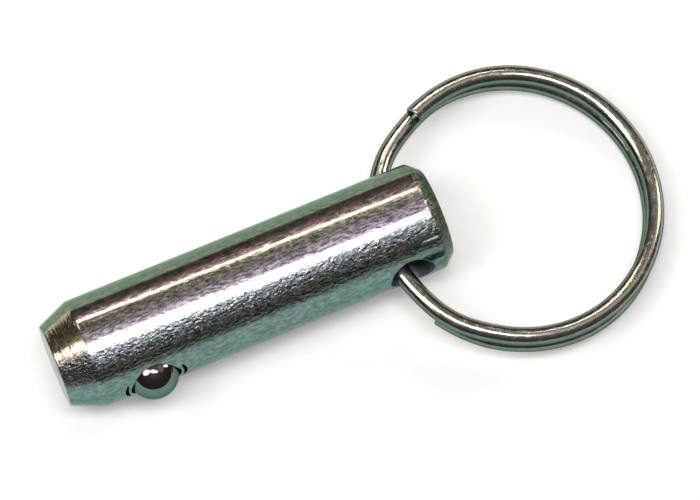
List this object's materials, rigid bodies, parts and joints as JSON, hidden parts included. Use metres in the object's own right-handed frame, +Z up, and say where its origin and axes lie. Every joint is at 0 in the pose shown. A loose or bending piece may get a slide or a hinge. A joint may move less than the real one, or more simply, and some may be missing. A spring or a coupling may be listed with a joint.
{
  "type": "detent pin",
  "caption": "Round steel detent pin with a long lead-in chamfer, a spring-loaded locking ball near the tip and a split wire pull ring through a cross hole at the head end.",
  "frame": {"origin": "centre of the flat head end of the pin, on the pin's axis", "axes": "+X out of the head end along the pin's axis (the tip points to -X), +Z up from the surface that the pin and its ring lie on, +Y away from the ball's side"},
  "size_m": [0.0542, 0.0254, 0.0096],
  "materials": {
    "zinc_steel": "bright zinc plating on turned steel, scuffed with fine scratches",
    "ball_steel": "polished hardened bearing steel",
    "spring_steel": "plain drawn spring wire",
    "ring_wire": "bright plated spring wire, smooth, with small rub marks"
  },
  "bodies": {
    "pin": {"pin_body": "zinc_steel", "ball_spring": "spring_steel"},
    "ball": {"detent_ball": "ball_steel"},
    "ring": {"split_ring": "ring_wire"}
  },
  "joints": [
    {"name": "ball_press", "type": "slide", "parent": "pin", "child": "ball", "axis": [0, 0.9925, -0.1219], "range_m": [0, 0.0014], "stiffness_N_per_m": 2800, "springref_m": -0.001, "deforming": ["ball_spring"]},
    {"name": "ring_swing", "type": "hinge", "parent": "pin", "child": "ring", "pos_m": [-0.00405, 0, 0], "axis": [0, 0.9925, -0.1219], "range_deg": [-168, 153]}
  ]
}
